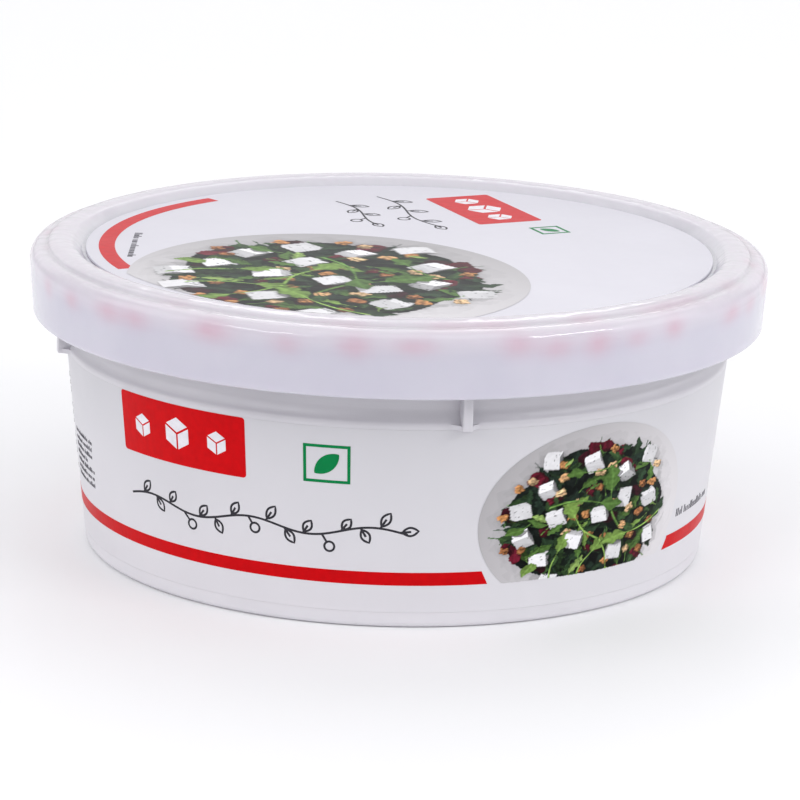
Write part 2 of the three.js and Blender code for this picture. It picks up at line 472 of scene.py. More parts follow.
FILM = 0.35
SEAM_WIDTH = 0.6
seam_angle = SEAM_WIDTH / wall_radius(LEDGE_HEIGHT / 2)
film_bottom = film_low.z / MM
film_top = film_high.z / MM
sleeve = draw_outline("wall_film", [
    (wall_radius(film_bottom) - FILM, film_bottom),
    (wall_radius(film_bottom), film_bottom, 0.03),
    (wall_radius(film_top), film_top, 0.03),
    (wall_radius(film_top) - FILM, film_top),
    (wall_radius(film_bottom) - FILM, film_bottom),
])
edit_all(sleeve)
bpy.ops.mesh.remove_doubles(threshold=WELD_DISTANCE)
bpy.ops.mesh.edge_face_add()
bpy.ops.object.mode_set(mode="OBJECT")
turn_round(sleeve, angle=2 * math.pi - seam_angle)
sleeve.rotation_euler.z = math.pi / 2 + seam_angle / 2
bpy.ops.object.transform_apply(location=True, rotation=True, scale=True)


def film_surface(tone, shader, roughness):
    """Gives a film or its ink a gloss that varies a little, and a fine orange peel."""
    feed(tone.noise(500, 3) * 0.12 + roughness, shader, "Roughness")
    feed(bump(tone.noise(2500, 2) + tone.noise(80, 2) * 4, 0.008 * MM), shader, "Normal")


wall_film, tone, shader = new_material("wall_film")
mottle = tone.noise(45, 3).within(0.3, 0.7) * 0.2
# Painted shade: the film's colour darkens from the foot up to the ledge, standing in for the
# shade of the lid's overhang on the upper wall and the floor's light on the foot. The noise
# mottle added to it is the film's own.
feed((mottle + tone.height(0, LEDGE_HEIGHT) * 0.8)
     .between(srgb(230, 228, 233), srgb(205, 204, 209)), shader, "Base Color")
film_surface(tone, shader, 0.32)
finish_piece(sleeve, wall_film, "wall_print", "tub_label")

# Lid label
# A round printed white film, moulded into the sunk panel of the lid. It stands a little proud
# of the panel, and its upper edge is rounded.

disc_low, disc_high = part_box("lid_label")
disc_radius = disc_high.x / MM
disc_bottom = disc_low.z / MM
disc_top = disc_high.z / MM
disc = turn_round(draw_outline("lid_film", [
    (0, disc_bottom),
    (disc_radius, disc_bottom),
    (disc_radius, disc_top, 0.1),
    (0, disc_top),
]))
lid_film, tone, shader = new_material("lid_film")
feed(tone.noise(45, 3).within(0.3, 0.7).between(srgb(212, 210, 219), srgb(216, 214, 223)),
     shader, "Base Color")
film_surface(tone, shader, 0.34)
finish_piece(disc, lid_film, "lid_print", "lid_label")

# Red bands
# A band of red ink runs round the foot of the wall label and stops with slanted ends on both
# sides of the printed bowl. An arc of a slightly paler red follows the edge of the lid label.

WRAP_RADIUS = 50.3
INK_LOW = -0.01
INK_HIGH = 0.03
INK_GLOSS = 0.08
BAND_BOTTOM, BAND_TOP = 6.8, 8.85
BAND_LEAN = 1.2
BOWL_GAP = (16.7, 56.2)
LID_BAND = (44.4, 46.9)
LID_BAND_TURN = (-137.5, -65)


def along_wall(degrees):
    """Millimetres along the wall at a turn from the front, to the right."""
    return math.radians(degrees) * WRAP_RADIUS


def move_to(piece, places):
    """Sets a piece's vertices from rows of millimetres."""
    piece.data.vertices.foreach_set("co", np.ravel(places) * MM)
    piece.data.update()


def raise_by(piece, height):
    move_to(piece, places_of(piece) + (0, 0, height))


def wrap_on_wall(piece):
    """Bends a print drawn flat, x along the wall, y up and z proud of it, round the label."""
    along, height, proud = places_of(piece).T
    turn = along / WRAP_RADIUS
    reach = wall_radius(height) + proud
    move_to(piece, np.stack([reach * np.sin(turn), -reach * np.cos(turn), height], axis=1))


def ink_field(name, left, right, bottom, top, steps=1):
    """A flat field of ink, drawn in millimetres as a grid of the given number of steps."""
    bpy.ops.object.select_all(action="DESELECT")
    bpy.ops.mesh.primitive_grid_add(x_subdivisions=steps, y_subdivisions=1, size=MM)
    bpy.ops.transform.resize(value=(right - left, top - bottom, 1))
    bpy.ops.transform.translate(value=((left + right) / 2 * MM, (bottom + top) / 2 * MM, 0))
    bpy.ops.object.transform_apply(location=True, rotation=True, scale=True)
    field = bpy.context.object
    field.name = field.data.name = name
    return field


def give_depth(piece):
    """Draws a flat print out into a thin closed layer that just bites into the film."""
    edit_all(piece)
    bpy.ops.transform.translate(value=(0, 0, INK_LOW * MM))
    bpy.ops.mesh.extrude_region_move(
        TRANSFORM_OT_translate={"value": (0, 0, (INK_HIGH - INK_LOW) * MM)})
    bpy.ops.mesh.select_all(action="SELECT")
    bpy.ops.mesh.normals_make_consistent(inside=False)
    bpy.ops.object.mode_set(mode="OBJECT")


def ink(name, colour):
    """Gloss printing ink: an even colour with a faint mottle and the film's fine orange peel."""
    material, tone, shader = new_material(name)
    darker = tuple(level * 0.94 for level in colour)
    feed(tone.noise(900, 3).within(0.3, 0.7).between(srgb(*darker), srgb(*colour)),
         shader, "Base Color")
    film_surface(tone, shader, 0.30)
    shader.inputs["Specular IOR Level"].default_value = INK_GLOSS
    return material


seam_turn = math.degrees(seam_angle) / 2
bands = []
gap_left, gap_right = 360 + BOWL_GAP[0], BOWL_GAP[1]
for start, stop, slanted, lean in ((gap_right, 180 - seam_turn, gap_right, BAND_LEAN),
                                   (180 + seam_turn, gap_left, gap_left, -BAND_LEAN)):
    left, right = along_wall(start), along_wall(stop)
    band = ink_field("wall_band", left, right, BAND_BOTTOM, BAND_TOP, int(right - left))
    places = places_of(band)
    upper = places[:, 1] > (BAND_BOTTOM + BAND_TOP) / 2
    at_gap = np.abs(places[:, 0] - along_wall(slanted)) < 0.1
    places[upper & at_gap, 0] += lean
    move_to(band, places)
    give_depth(band)
    wrap_on_wall(band)
    bands.append(band)
red_ink = ink("red_ink", (211, 0, 10))
pale_red_ink = ink("pale_red_ink", (211, 28, 36))
finish_piece(join_pieces("wall_band", bands), red_ink, "wall_print")

arc_start, arc_stop = (math.radians(turn) for turn in LID_BAND_TURN)
arc = ink_field("lid_band", arc_start, arc_stop, *LID_BAND, steps=72)
turn, reach, flat = places_of(arc).T
move_to(arc, np.stack([reach * np.sin(turn), -reach * np.cos(turn), flat], axis=1))
give_depth(arc)
raise_by(arc, disc_top)
finish_piece(arc, pale_red_ink, "lid_print")

# Red blocks with white cubes
# Each label has a plain block of red ink, with three cubes of cheese drawn on it in white ink
# as separate faces. The block on the wall reaches up to the label's edge.

LID_TURN = math.radians(-65.7)
WALL_BLOCK = (along_wall(-52.6), along_wall(-25.2), 21.7, 31.05)
LID_BLOCK = (-33.6, -12.3, 19.6, 30.8)
BLOCK_ROUNDING = 0.5
STRIP_WIDTH = 1.5
CUBE_FACE = 0.86
CUBE_ROW = ((0.2, 0, 0.21), (0.5, 0.02, 0.29), (0.8, 0, 0.21))


def lay_on_lid(piece, centre=(0, 0)):
    """Lays a print drawn flat on the lid label, turned as the lid is, round a centre."""
    x, y, proud = places_of(piece).T
    cos, sin = math.cos(LID_TURN), math.sin(LID_TURN)
    move_to(piece, np.stack([centre[0] + x * cos - y * sin, centre[1] + x * sin + y * cos,
                             disc_top + proud], axis=1))


def slice_upright(piece):
    """Cuts a flat print into upright strips, so that it can bend with the wall."""
    across = places_of(piece)[:, 0]
    edit_all(piece)
    for cut in np.arange(across.min() + STRIP_WIDTH, across.max(), STRIP_WIDTH):
        bpy.ops.mesh.select_all(action="SELECT")
        bpy.ops.mesh.bisect(plane_co=(cut * MM, 0, 0), plane_no=(1, 0, 0))
    bpy.ops.object.mode_set(mode="OBJECT")


def rounded_block(name, left, right, bottom, top):
    block = ink_field(name, left, right, bottom, top)
    edit_all(block)
    bpy.ops.mesh.bevel(offset=BLOCK_ROUNDING * MM, segments=5, affect="VERTICES")
    bpy.ops.object.mode_set(mode="OBJECT")
    return block


def drawn_cube(x, y, size):
    """A cube seen from above a corner: three four-sided faces with thin gaps between."""
    faces = []
    for first in (30, 150, 270):
        turns = [math.radians(first + step) for step in (0, 60, 120)]
        corners = [Vector((0, 0))] + [size * Vector((math.cos(t), math.sin(t))) for t in turns]
        middle = sum(corners, Vector((0, 0))) / 4
        bpy.ops.object.select_all(action="DESELECT")
        bpy.ops.mesh.primitive_plane_add(size=MM)
        face = bpy.context.object
        for index, corner in zip((0, 1, 3, 2), corners):
            kept = middle + (corner - middle) * CUBE_FACE
            face.data.vertices[index].co = ((x + kept.x) * MM, (y + kept.y) * MM, 0)
        faces.append(face)
    return join_pieces("drawn_cube", faces)


def cube_row(left, right, bottom, top):
    """Cubes across a block; their places and sizes are shares of its width and height."""
    width, height = right - left, top - bottom
    return [drawn_cube(left + width * share, (bottom + top) / 2 + height * lift, height * size)
            for share, lift, size in CUBE_ROW]


white_ink = ink("white_ink", (240, 238, 244))
for name, block, lay, block_ink in (("wall", WALL_BLOCK, wrap_on_wall, red_ink),
                                    ("lid", LID_BLOCK, lay_on_lid, pale_red_ink)):
    field = rounded_block(name + "_block", *block)
    slice_upright(field)
    give_depth(field)
    lay(field)
    finish_piece(field, block_ink, name + "_print")
    cubes = join_pieces(name + "_cubes", cube_row(*block))
    slice_upright(cubes)
    give_depth(cubes)
    raise_by(cubes, INK_HIGH)
    lay(cubes)
    finish_piece(cubes, white_ink, name + "_print")

# Green leaf marks
# A small square frame with a leaf in it is printed beside each red block, in one green ink.
# The leaf is a circle drawn in to a point at both ends and turned to lean.

WALL_MARK = (along_wall(-15.0), along_wall(-7.1), 22.4, 28.3)
LID_MARK = (-7.6, -2.5, 26.1, 31.1)
MARK_STROKE = 0.45
LEAF_REACH = 0.34
LEAF_WIDTH = 0.52
LEAF_POINT = 0.8
LEAF_LEAN = (math.cos(math.radians(40)), math.sin(math.radians(40)))


def leaf_mark(name, left, right, bottom, top):
    frame_piece = ink_field(name, left, right, bottom, top)
    edit_all(frame_piece)
    bpy.ops.mesh.inset(thickness=MARK_STROKE * MM)
    bpy.ops.mesh.delete(type="FACE")
    bpy.ops.object.mode_set(mode="OBJECT")
    bpy.ops.object.select_all(action="DESELECT")
    bpy.ops.mesh.primitive_circle_add(vertices=32, radius=MM, fill_type="NGON")
    leaf = bpy.context.object
    reach = (right - left) * LEAF_REACH
    for vertex in leaf.data.vertices:
        x = vertex.co.x / MM
        y = math.copysign(LEAF_WIDTH * max(1 - x * x, 0) ** LEAF_POINT, vertex.co.y)
        vertex.co.x = ((left + right) / 2 + reach * (x * LEAF_LEAN[0] - y * LEAF_LEAN[1])) * MM
        vertex.co.y = ((bottom + top) / 2 + reach * (x * LEAF_LEAN[1] + y * LEAF_LEAN[0])) * MM
    return join_pieces(name, [frame_piece, leaf])


green_ink = ink("green_ink", (5, 131, 71))
for name, mark, lay in (("wall", WALL_MARK, wrap_on_wall), ("lid", LID_MARK, lay_on_lid)):
    leaf = leaf_mark(name + "_leaf_mark", *mark)
    slice_upright(leaf)
    give_depth(leaf)
    lay(leaf)
    finish_piece(leaf, green_ink, name + "_print")

# Sprigs
# Fine dark lines draw a sprig with leaves and olives: one below the block on the wall, and
# two shorter ones, one above the other, on the lid.

PEN = 0.34
STEM_STEPS = 90
STEM_WAVE = (7.5, 0.32)
LEAF_SPACING = 1.15
LEAF_HALF_WIDTH = 0.26
LEAF_STALK = 0.12
LEAF_STEPS = 8
OLIVE_RADIUS = 0.3
OLIVE_STALK = 0.82


def sprig(name, left, right, middle, size, seed):
    """Draws a sprig from left to right as round strokes of the pen, then presses them flat.
    Waves, leaves and olives are measured in shares of the size."""
    draw = random.Random(seed)
    drawn = bpy.data.curves.new(name, "CURVE")
    drawn.dimensions = "3D"
    drawn.bevel_depth = PEN / 2 * MM
    drawn.bevel_resolution = 1
    drawn.use_fill_caps = True

    def stroke(points, closed=False):
        spline = drawn.splines.new("POLY")
        spline.points.add(len(points) - 1)
        for spot, (x, y) in zip(spline.points, points):
            spot.co = (x * MM, y * MM, 0, 1)
        spline.use_cyclic_u = closed

    def stem(x):
        wave = math.sin(2 * math.pi * (x - left) / (STEM_WAVE[0] * size))
        return x, middle + STEM_WAVE[1] * size * wave

    length = right - left
    stroke([stem(left + length * step / STEM_STEPS) for step in range(STEM_STEPS + 1)])
    count = int(length / (LEAF_SPACING * size))
    for place in range(1, count + 1):
        x, y = stem(left + length * place / (count + 0.4))
        side = 1 if place % 2 else -1
        angle = side * math.radians(draw.uniform(48, 62))
        reach = size * draw.uniform(0.95, 1.15)
        if place == count:
            angle, reach = 0.1, size * 1.1
        along = Vector((math.cos(angle), math.sin(angle)))
        across = Vector((-along.y, along.x))
        root = Vector((x, y))
        if place % 4 == 0 and place < count:
            olive = root + along * reach * OLIVE_STALK
            ring = [olive + size * OLIVE_RADIUS * Vector((math.cos(t), math.sin(t)))
                    for t in np.linspace(0, 2 * math.pi, 20, endpoint=False)]
            stroke(ring, closed=True)
            stroke([root, olive - along * size * OLIVE_RADIUS])
            continue
        rib, edge = [], []
        for t in np.linspace(0, 1, LEAF_STEPS + 1):
            rib.append(root + along * reach * (LEAF_STALK + (1 - LEAF_STALK) * t))
            edge.append(across * LEAF_HALF_WIDTH * size * math.sin(math.pi * t) ** 0.9)
        upper = [point + out for point, out in zip(rib, edge)]
        lower = [point - out for point, out in zip(rib, edge)]
        stroke(upper + lower[-2:0:-1], closed=True)
        stroke([root, root + along * reach * 0.6])
    piece = bpy.data.objects.new(name, drawn)
    bpy.context.scene.collection.objects.link(piece)
    bpy.ops.object.select_all(action="DESELECT")
    piece.select_set(True)
    bpy.context.view_layer.objects.active = piece
    bpy.ops.object.convert(target="MESH")
    piece = bpy.context.object
    places = places_of(piece)
    places[:, 2] = INK_LOW + (INK_HIGH - INK_LOW) * (places[:, 2] / PEN + 0.5)
    move_to(piece, places)
    return piece


dark_ink = ink("dark_ink", (58, 57, 63))
wall_sprig = sprig("wall_sprig", along_wall(-51.5), along_wall(2.6), 15.0, 2.5, seed=3)
wrap_on_wall(wall_sprig)
finish_piece(wall_sprig, dark_ink, "wall_print")
lid_sprigs = join_pieces("lid_sprigs", [
    sprig("lid_sprig", -37.5, -12.5, 12.6, 3.2, seed=5),
    sprig("lid_sprig", -36.0, -17.5, 4.6, 3.0, seed=8),
])
lay_on_lid(lid_sprigs)
finish_piece(lid_sprigs, dark_ink, "lid_print")

# Fine print
# Small print is drawn as rows of short ticks in grey ink, grouped like words: one row beside
# the bowl, a small block on the left, two large blocks behind, and one row on the lid.

TICK_WIDTH = 0.15
TICK_STEP = 0.3
TICK_HEIGHT = 0.4
TALL_TICK = 0.62
TALL_SHARE = 0.3
TICKS_IN_GROUP = (4, 16)


def fine_rows(name, left, right, bottom, top, rows, seed):
    """Draws rows of ticks. A tick's sizes are shares of the distance between two rows."""
    draw = random.Random(seed)
    pitch = (top - bottom) / rows
    ticks = []
    for row in range(rows):
        base = top - pitch * (row + 0.75)
        x = left
        stop = right - (draw.uniform(0.05, 0.35) * (right - left) if row % 4 == 3 else 0)
        while x < stop:
            for _ in range(draw.randint(*TICKS_IN_GROUP)):
                tall = TALL_TICK if draw.random() < TALL_SHARE else TICK_HEIGHT
                if x < stop:
                    ticks.append((x, base + tall * pitch / 2, TICK_WIDTH * pitch, tall * pitch))
                x += TICK_STEP * pitch * draw.uniform(0.8, 1.25)
            x += TICK_STEP * pitch
    bpy.ops.object.select_all(action="DESELECT")
    bpy.ops.mesh.primitive_grid_add(x_subdivisions=len(ticks), y_subdivisions=1, size=MM)
    piece = bpy.context.object
    edit_all(piece)
    bpy.ops.mesh.edge_split(type="EDGE")
    bpy.ops.object.mode_set(mode="OBJECT")
    piece.name = piece.data.name = name
    for face, (x, y, width, height) in zip(piece.data.polygons, ticks):
        for corner, (side, end) in zip(face.vertices, ((-1, -1), (1, -1), (1, 1), (-1, 1))):
            piece.data.vertices[corner].co = ((x + side * width / 2) * MM,
                                              (y + end * height / 2) * MM, 0)
    return piece


grey_ink = ink("grey_ink", (84, 82, 90))
wall_rows = join_pieces("wall_fine_print", [
    fine_rows("rows", along_wall(-78), along_wall(-66.5), 11.7, 19.8, 7, seed=1),
    fine_rows("rows", along_wall(60.2), along_wall(76.6), 10.9, 12.9, 1, seed=2),
    fine_rows("rows", along_wall(-118), along_wall(-84), 11.0, 27.0, 13, seed=3),
    fine_rows("rows", along_wall(96), along_wall(132), 11.0, 27.0, 11, seed=4),
])
give_depth(wall_rows)
wrap_on_wall(wall_rows)
finish_piece(wall_rows, grey_ink, "wall_print")
lid_rows = fine_rows("lid_fine_print", -10.8, 6.2, -42.3, -40.3, 1, seed=6)
up, along, flat = places_of(lid_rows).T
move_to(lid_rows, np.stack([along, up, flat], axis=1))
give_depth(lid_rows)
raise_by(lid_rows, disc_top)
finish_piece(lid_rows, grey_ink, "lid_print")

# Printed bowl of salad
# Both labels show a pale bowl of leaves, cubes of white cheese, nuts and beet. Such a heap is
# modelled and lit, and the sheet of ink takes the colours seen from straight above it.

BOWL_ACROSS, BOWL_UP = 21.8, 21.4
SALAD_CENTRE = Vector((-0.4, -0.2))
SALAD_RADIUS = 18.6
SALAD_DOME = 2.5
BOWL_DEPTH = 6.5
BOWL_FULL_LIGHT = 1.1
SHEET_STEPS = 230
DEEPEST_SHADE, SKY_SHARE, KEY_SHARE = 0.03, 0.42, 0.72
SKY_REACH, KEY_REACH = 9, 14
RAY_START = 0.06
KEY_LIGHT = Vector((-0.52, 0.36, 0.78)).normalized()
SKY_LIGHTS = [Vector((math.cos(turn) * math.cos(lift), math.sin(turn) * math.cos(lift),
                      math.sin(lift)))
              for lift, turns in ((0.35, 5), (0.85, 4), (1.35, 2))
              for turn in np.linspace(lift, lift + 2 * math.pi, turns, endpoint=False)]
LEAF_GREENS = ((34, 50, 40), (44, 66, 44), (60, 88, 50), (84, 118, 56), (120, 152, 74),
               (150, 180, 100))
NUT_BROWNS = ((206, 146, 92), (224, 176, 126), (172, 114, 72), (234, 196, 150))
BEET_REDS = ((88, 16, 34), (58, 10, 26), (112, 26, 46))


def template():
    """Turns the active object into arrays of corners and triangles, and removes it."""
    made = bpy.context.object
    edit_all(made)
    bpy.ops.mesh.quads_convert_to_tris()
    bpy.ops.object.mode_set(mode="OBJECT")
    corners = np.array([vertex.co[:] for vertex in made.data.vertices])
    triangles = np.array([polygon.vertices[:] for polygon in made.data.polygons])
    bpy.data.objects.remove(made)
    return corners, triangles


def rocket_leaf(lobes, stem, broad=1.0):
    """A leaf one unit long with a thin stem and a lobed blade, folded a little at its rib."""
    bpy.ops.object.select_all(action="DESELECT")
    bpy.ops.mesh.primitive_grid_add(x_subdivisions=34, y_subdivisions=10, size=1)
    corners, triangles = template()
    along, side = corners[:, 0] + 0.5, corners[:, 1] * 2
    blade = np.clip((along - stem) / (1 - stem), 0, 1)
    width = 0.17 * broad * np.sin(math.pi * blade ** 0.85) ** 0.8
    width *= 0.45 + 0.55 * np.abs(np.sin(lobes * math.pi * blade + 0.4 * np.sign(side)))
    width += 0.016 * (1 - 0.7 * along)
    fold = 0.32 * width * np.abs(side) ** 1.5 + 0.015 * np.sin(14 * along) * side ** 2
    arch = -0.3 * (along - 0.5) ** 2
    sway = 0.06 * np.sin(5 * along)
    placed = np.stack([along - 0.5, side * width + sway, fold + arch], axis=1)
    rib = np.exp(-(np.abs(side) * width / 0.012) ** 2) * (1 - 0.6 * along)
    vein = 0.5 + 0.5 * np.sin(42 * along - 9 * np.abs(side))
    tone = 0.85 + 0.8 * rib + 0.15 * vein * (blade > 0) + 0.5 * (along < stem)
    return placed, triangles, tone


def cheese_cube():
    """A cube one unit wide with slightly uneven corners."""
    bpy.ops.object.select_all(action="DESELECT")
    bpy.ops.mesh.primitive_cube_add(size=1)
    corners, triangles = template()
    wobble = np.array([math.sin(5 * x + 3 * y + 2 * z) for x, y, z in corners])
    return corners * (1 + 0.05 * wobble[:, None]), triangles, np.ones(len(corners))


def lump(roughness):
    """A knobbly ball one unit wide."""
    bpy.ops.object.select_all(action="DESELECT")
    bpy.ops.mesh.primitive_ico_sphere_add(subdivisions=3, radius=0.5)
    corners, triangles = template()
    swell = np.array([noise.noise(Vector(corner) * 3.1) for corner in corners])
    return corners * (1 + roughness * swell[:, None]), triangles, 1 + 0.5 * swell


class Heap:
    """Copies of templates, each with its own place, size and colour."""

    def __init__(self):
        self.corners, self.triangles, self.tones, self.owners = [], [], [], []
        self.items = []
        self.count = 0

    def put(self, shape, kind, colour, place, size, turn):
        corners, triangles, tone = shape
        sized = corners * np.array(size)
        matrix = np.array(Euler(turn).to_matrix())
        self.corners.append(sized @ matrix.T + np.array(place))
        self.triangles.append(triangles + self.count)
        self.tones.append(tone)
        self.owners += [len(self.items)] * len(triangles)
        self.items.append((kind, np.array(srgb(*colour))))
        self.count += len(corners)

    def settle(self):
        self.corners = [Vector(corner) for corner in np.concatenate(self.corners)]
        self.triangles = np.concatenate(self.triangles).tolist()
        self.tones = np.concatenate(self.tones)
        self.tree = BVHTree.FromPolygons(self.corners, self.triangles)

    def light_at(self, point, normal, shade=0.12):
        """Light from the sky and the key lamp that reaches a point, from 0 to about 1. Where
        the heap hides the key lamp, a share of its light is left."""
        start = point + normal * RAY_START
        sky = total = 0
        for way in SKY_LIGHTS:
            facing = max(normal.dot(way), 0)
            total += max(way.z, 0)
            if facing and self.tree.ray_cast(start, way, SKY_REACH)[0] is None:
                sky += facing
        key = max(normal.dot(KEY_LIGHT), 0)
        if key and self.tree.ray_cast(start, KEY_LIGHT, KEY_REACH)[0] is not None:
            key *= shade
        return DEEPEST_SHADE + SKY_SHARE * sky / total + KEY_SHARE * key

    def seen_from_above(self, x, y):
        """The colour seen straight down at a point, or None beside the heap."""
        point, normal, index, _ = self.tree.ray_cast(Vector((x, y, 40)), Vector((0, 0, -1)))
        if point is None:
            return None
        if normal.z < 0:
            normal = -normal
        kind, colour = self.items[self.owners[index]]
        triangle = self.triangles[index]
        shares = poly_3d_calc([self.corners[corner] for corner in triangle], point)
        tone = sum(share * self.tones[corner] for share, corner in zip(shares, triangle))
        grain = noise.noise(point * 1.7)
        if kind == "cube":
            tone *= 0.25 if noise.noise(point * 2.6 + Vector((9, 0, 0))) > 0.56 else 1
            tone *= 1 + 0.06 * grain
        else:
            tone *= 1 + 0.45 * grain
        return colour * tone * self.light_at(point, normal)


draw = random.Random(21)
heap = Heap()
leaves = [rocket_leaf(lobes=2.5, stem=0.3), rocket_leaf(lobes=3.5, stem=0.2),
          rocket_leaf(lobes=1.0, stem=0.25, broad=1.2)]
sprays = [rocket_leaf(lobes=2.5, stem=0.62, broad=0.7),
          rocket_leaf(lobes=1.5, stem=0.7, broad=0.6)]
cube_shape = cheese_cube()
nut_shape, beet_shape = lump(roughness=0.9), lump(roughness=0.5)


def spot(radius, lift, taken=(), apart=0):
    """A random place in the heap, clear of the places already taken."""
    for _ in range(200):
        reach, turn = radius * math.sqrt(draw.random()), draw.uniform(0, 2 * math.pi)
        x = SALAD_CENTRE.x + reach * math.cos(turn)
        y = SALAD_CENTRE.y + reach * math.sin(turn)
        if all(math.hypot(x - there[0], y - there[1]) > apart for there in taken):
            break
    return x, y, lift + SALAD_DOME * (1 - (reach / SALAD_RADIUS) ** 2)


def lay_leaves(kinds, count, radius, lift, greens, lengths, tilt):
    """Strews leaves over the heap, up to a radius from its middle and tilted up to an angle."""
    for _ in range(count):
        length = draw.uniform(*lengths)
        broad = draw.uniform(0.7, 1.15)
        heap.put(draw.choice(kinds), "leaf", draw.choice(greens),
                 spot(radius, lift + draw.uniform(-0.5, 0.5)),
                 (length, length * broad, length),
                 (draw.uniform(-tilt, tilt), draw.uniform(-tilt, tilt) / 2,
                  draw.uniform(0, 2 * math.pi)))


bpy.ops.object.select_all(action="DESELECT")
bpy.ops.mesh.primitive_circle_add(vertices=56, radius=1, fill_type="TRIFAN")
ground, ground_faces = template()
ragged = 1 + 0.05 * np.sin(7 * np.arctan2(ground[:, 1], ground[:, 0]) + 1)
heap.put((ground * ragged[:, None], ground_faces, np.ones(len(ground))), "ground", (22, 30, 26),
         (*SALAD_CENTRE, 0), (SALAD_RADIUS - 2.4, SALAD_RADIUS - 2.4, 1), (0, 0, 0))
lay_leaves(leaves, count=90, radius=SALAD_RADIUS - 2.2, lift=0.8, greens=LEAF_GREENS[:3],
           lengths=(5, 9), tilt=0.35)
for _ in range(26):
    heap.put(beet_shape, "beet", draw.choice(BEET_REDS), spot(SALAD_RADIUS - 2, 1.8),
             (draw.uniform(2.5, 4.5), draw.uniform(2, 3), 2),
             (draw.uniform(-1, 1), draw.uniform(-1, 1), draw.uniform(0, 6)))
lay_leaves(leaves, count=80, radius=SALAD_RADIUS - 2.6, lift=2.4, greens=LEAF_GREENS[:4],
           lengths=(4.5, 9), tilt=0.6)
cubes = []
for _ in range(17):
    cubes.append(spot(SALAD_RADIUS - 1.4, 3.1, cubes, 5.6))
    heap.put(cube_shape, "cube", (252, 251, 254), cubes[-1],
             [draw.uniform(2.7, 3.4) for _ in range(3)],
             (0.55 + draw.uniform(-0.3, 0.3), draw.uniform(-0.4, 0.4), draw.uniform(-0.6, 0.6)))
nuts = []
for _ in range(34):
    nuts.append(spot(SALAD_RADIUS - 0.8, 3.4, cubes + nuts, 2.3))
    heap.put(nut_shape, "nut", draw.choice(NUT_BROWNS), nuts[-1],
             (draw.uniform(1.2, 2.5), draw.uniform(1.1, 1.8), 1.5),
             (draw.uniform(-1, 1), draw.uniform(-1, 1), draw.uniform(0, 6)))
lay_leaves(leaves, count=28, radius=SALAD_RADIUS - 3, lift=4.2, greens=LEAF_GREENS[1:],
           lengths=(3, 6), tilt=0.5)
lay_leaves(sprays, count=8, radius=SALAD_RADIUS - 6.5, lift=5.4, greens=LEAF_GREENS[3:],
           lengths=(11, 16), tilt=0.15)
heap.settle()


def bowl_colour(x, y):
    """The inside of a shallow pale bowl: shaded on the left, and lost in white on the right."""
    spread_x, spread_y = x / BOWL_ACROSS, y / BOWL_UP
    steep = 2 * BOWL_DEPTH / BOWL_ACROSS
    normal = Vector((-steep * spread_x, -steep * spread_y, 1)).normalized()
    height = BOWL_DEPTH * (spread_x ** 2 + spread_y ** 2) - 1.5
    light = heap.light_at(Vector((x, y, height)), normal, shade=0.75)
    return np.array(srgb(224, 221, 224)) * min(light / BOWL_FULL_LIGHT, 1)


bpy.ops.object.select_all(action="DESELECT")
bpy.ops.mesh.primitive_grid_add(x_subdivisions=SHEET_STEPS, y_subdivisions=SHEET_STEPS, size=2)
sheet = bpy.context.object
sheet.data.uv_layers[0].name = "OFBake"
# Each square ring of the grid is pressed into an oval one, as wide and high as the bowl.
square = np.array([vertex.co[:] for vertex in sheet.data.vertices])
across, up = square[:, 0], square[:, 1]
wide = np.abs(across) > np.abs(up)
reach = np.where(wide, across, up)
share = np.divide(np.where(wide, up, across), reach, out=np.zeros_like(reach), where=reach != 0)
turn = np.where(wide, math.pi / 4 * share, math.pi / 2 - math.pi / 4 * share)
round_x, round_y = reach * np.cos(turn) * BOWL_ACROSS, reach * np.sin(turn) * BOWL_UP
colours = np.ones((len(square), 4))
for place, (x, y) in enumerate(zip(round_x, round_y)):
    seen = None
    if math.hypot(x - SALAD_CENTRE.x, y - SALAD_CENTRE.y) < SALAD_RADIUS + 4:
        seen = heap.seen_from_above(x, y)
    colours[place, :3] = bowl_colour(x, y) if seen is None else np.clip(seen, 0, 1)
printed = sheet.data.color_attributes.new("Print", "FLOAT_COLOR", "POINT")
printed.data.foreach_set("color", colours.ravel())
move_to(sheet, np.stack([round_x, round_y, np.full_like(round_x, INK_HIGH)], axis=1))

picture_ink, tone, shader = new_material("picture_ink")
printed_colour = tone.add("ShaderNodeAttribute", attribute_name="Print")
feed(printed_colour, shader, "Base Color")
film_surface(tone, shader, 0.32)
shader.inputs["Specular IOR Level"].default_value = INK_GLOSS

WALL_BOWL = (32.2, 15.7)
WALL_BOWL_SIZE = (19.5, 14.4)
WALL_BOWL_CUT = 6.8
LID_BOWL = (-10.6, -22.6)
LID_BOWL_SIZE = (31.8, 30.2)
OVERPRINT = 0.02


def size_picture(piece, size, centre=(0, 0)):
    """Scales and places the picture, and lifts it over the other inks. The size is how far it
    reaches from its middle, across and up."""
    x, y, proud = places_of(piece).T
    move_to(piece, np.stack([centre[0] + x * size[0] / BOWL_ACROSS,
                             centre[1] + y * size[1] / BOWL_UP, proud + OVERPRINT], axis=1))


def cut_away(piece, place, outward):
    """Cuts off what lies outward of a plane through a place."""
    edit_all(piece)
    bpy.ops.mesh.bisect(plane_co=place, plane_no=outward, clear_outer=True)
    bpy.ops.object.mode_set(mode="OBJECT")


lid_picture = sheet.copy()
lid_picture.data = sheet.data.copy()
bpy.context.scene.collection.objects.link(lid_picture)
lid_picture.name = lid_picture.data.name = "lid_picture"
size_picture(lid_picture, LID_BOWL_SIZE)
lay_on_lid(lid_picture, LID_BOWL)
# Short straight cuts end the picture at the outer edge of the lid's red arc.
for turn in np.radians(np.arange(-100, 60, 5)):
    outward = Vector((math.sin(turn), -math.cos(turn), 0))
    cut_away(lid_picture, outward * LID_BAND[1] * MM, outward)
finish_piece(lid_picture, picture_ink, "lid_print")

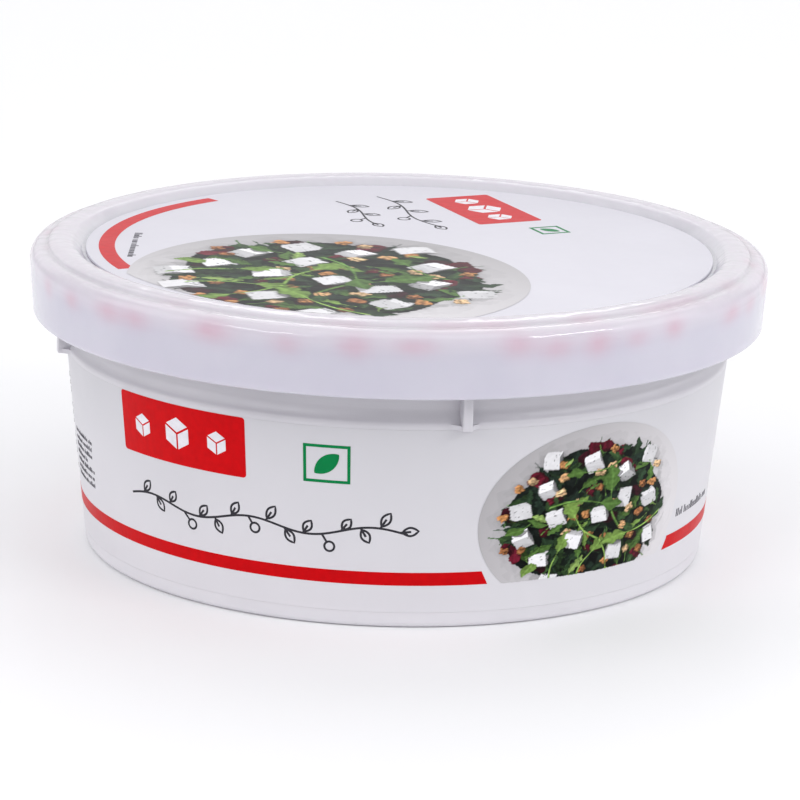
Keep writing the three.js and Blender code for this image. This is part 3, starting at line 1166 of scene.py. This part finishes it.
sheet.name = sheet.data.name = "wall_picture"
size_picture(sheet, WALL_BOWL_SIZE, WALL_BOWL)
cut_away(sheet, (0, WALL_BOWL_CUT * MM, 0), (0, -1, 0))
wrap_on_wall(sheet)
finish_piece(sheet, picture_ink, "wall_print")

# Floor, light and camera
# A plain pale floor, large soft studio lights with a few narrow ones that glint on the lid, and
# a camera from the front, a little above the lid.

bpy.ops.object.select_all(action="DESELECT")
bpy.ops.mesh.primitive_plane_add(size=8)
floor = bpy.context.object
floor.name = "floor"
pale_floor, tone, shader = new_material("pale_floor")
shader.inputs["Base Color"].default_value = (0.94, 0.94, 0.95, 1)
shader.inputs["Roughness"].default_value = 0.7
floor.data.materials.append(pale_floor)

world = bpy.data.worlds.new("studio")
bpy.context.scene.world = world
world.use_nodes = True
world.node_tree.nodes["Background"].inputs["Color"].default_value = (0.97, 0.97, 1.0, 1)
world.node_tree.nodes["Background"].inputs["Strength"].default_value = 0.50


def softbox(name, place, width, height, power):
    """A flat studio light that faces the middle of the tub, in metres and watts."""
    lamp = bpy.data.lights.new(name, "AREA")
    lamp.shape, lamp.size, lamp.size_y = "RECTANGLE", width, height
    lamp.energy = power
    holder = bpy.data.objects.new(name, lamp)
    bpy.context.scene.collection.objects.link(holder)
    holder.location = place
    aim = Vector((0, 0, 0.03)) - Vector(place)
    holder.rotation_euler = aim.to_track_quat("-Z", "Y").to_euler()


softbox("overhead", (0.0, 0.0, 1.3), 2.2, 2.2, 3.0)
softbox("front_top", (0.0, -0.7, 1.1), 1.4, 0.8, 2.6)
softbox("back_top", (0.0, 0.8, 1.1), 1.6, 0.8, 3.4)
softbox("left_side", (-1.1, -0.1, 0.5), 0.8, 0.8, 2.4)
softbox("right_side", (1.1, -0.1, 0.5), 0.8, 0.8, 2.2)
softbox("left_strip", (-0.62, -0.71, 0.5), 0.5, 0.05, 1.3)
softbox("right_strip", (0.75, -0.50, 0.55), 0.5, 0.05, 2.0)
softbox("back_wall", (0.0, 1.6, 0.45), 2.6, 0.7, 2.6)
softbox("back_left_strip", (-0.10, 0.93, 0.78), 0.10, 0.6, 0.4)
softbox("back_right_strip", (0.12, 0.93, 0.75), 0.09, 0.6, 0.45)

CAMERA_DISTANCE = 0.6334
CAMERA_ELEVATION = 14.54
CAMERA_TURN = 0.063
CAMERA_ROLL = 1.48
CAMERA_AIM = (0.68 * MM, 0, 22.2 * MM)
CAMERA_LENS = 180.6
bpy.ops.object.select_all(action="DESELECT")
bpy.ops.object.camera_add()
camera = bpy.context.object
camera.data.lens = CAMERA_LENS
elevation = math.radians(CAMERA_ELEVATION)
turn = math.radians(CAMERA_TURN)
back = Vector((-math.sin(turn) * math.cos(elevation), -math.cos(turn) * math.cos(elevation),
               math.sin(elevation)))
camera.location = Vector(CAMERA_AIM) + back * CAMERA_DISTANCE
facing = (-back).to_track_quat("-Z", "Y").to_matrix()
camera.rotation_euler = (facing @ Matrix.Rotation(math.radians(CAMERA_ROLL), 3, "Z")).to_euler()
camera.data.clip_start = 0.05
bpy.context.scene.camera = camera
bpy.context.scene.view_settings.view_transform = "Standard"
